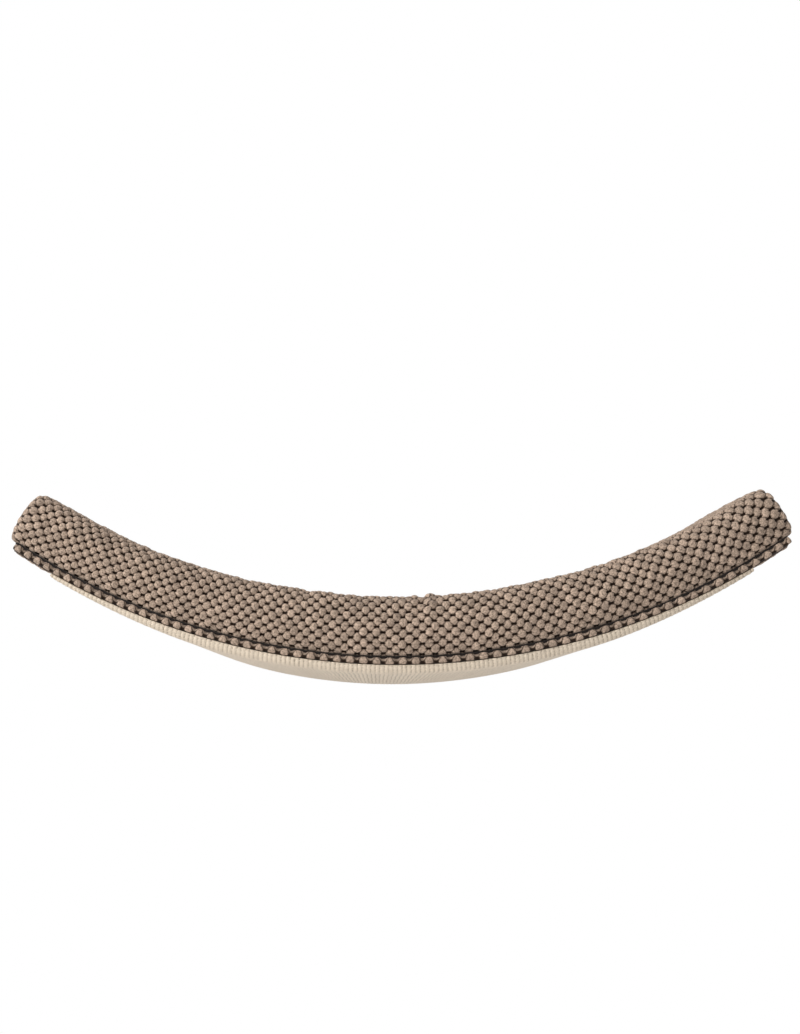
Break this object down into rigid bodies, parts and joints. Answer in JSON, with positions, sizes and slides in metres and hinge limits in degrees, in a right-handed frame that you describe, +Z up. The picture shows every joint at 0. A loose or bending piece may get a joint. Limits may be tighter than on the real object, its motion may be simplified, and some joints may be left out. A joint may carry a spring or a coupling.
{
  "type": "cat wall shelf",
  "caption": "Wall shelf bent to a shallow arc for a cat to lie in, with a thick bobble-fabric cushion that lifts off, a ribbed mat underneath and hidden steel brackets.",
  "frame": {"origin": "middle of the four wall holes, on the wall face", "axes": "+X along the wall to the right as seen from the room, +Y into the wall, +Z up"},
  "size_m": [0.9052, 0.402, 0.2137],
  "materials": {
    "bobble_fabric": "soft bobbled pile, taupe grey with dark ground",
    "ribbed_mat": "coarse ribbed weave, cream",
    "plywood": "clear-lacquered bent plywood",
    "coated_steel": "black powder coat",
    "zinc": "bright zinc plate",
    "hook_nylon": "hook tape",
    "loop_nylon": "loop tape",
    "foam": "open-cell foam",
    "fibre": "bonded fibre",
    "welt_cord": "dark woven cord",
    "zip_tape": "woven zip tape",
    "zip_coil": "nylon coil",
    "zip_metal": "gunmetal"
  },
  "bodies": {
    "shelf": {"bracket_left": "coated_steel", "bracket_right": "coated_steel", "bracket_screws_left": "zinc", "bracket_screws_right": "zinc", "hook_pad_front_left": "hook_nylon", "hook_pad_front_right": "hook_nylon", "hook_pad_rear_left": "hook_nylon", "hook_pad_rear_right": "hook_nylon", "plywood_board": "plywood", "tee_nuts_left": "zinc", "tee_nuts_right": "zinc", "underside_mat": "ribbed_mat"},
    "cushion": {"cover_base": "bobble_fabric", "cover_top": "bobble_fabric", "fibre_wrap": "fibre", "foam_core": "foam", "loop_pad_front_left": "loop_nylon", "loop_pad_front_right": "loop_nylon", "loop_pad_rear_left": "loop_nylon", "loop_pad_rear_right": "loop_nylon", "seam_welt": "welt_cord", "zip_coil": "zip_coil", "zip_stops": "zip_metal", "zip_tape_lower": "zip_tape", "zip_tape_upper": "zip_tape"},
    "zip_slider": {"zip_slider": "zip_metal"},
    "zip_pull": {"zip_pull": "zip_metal"}
  },
  "joints": [
    {"name": "cushion_lift", "type": "slide", "parent": "shelf", "child": "cushion", "axis": [0, 0, 1], "range_m": [0, 0.3]},
    {"name": "zip_travel", "type": "hinge", "parent": "cushion", "child": "zip_slider", "pos_m": [0, -0.0188, 0.757], "axis": [0, 1, 0], "range_deg": [0, 50.8]},
    {"name": "zip_pull_flip", "type": "hinge", "parent": "zip_slider", "child": "zip_pull", "pos_m": [0.34615, -0.0158, 0.02801], "axis": [0.4289, 0, -0.9033], "range_deg": [0, 170]}
  ]
}
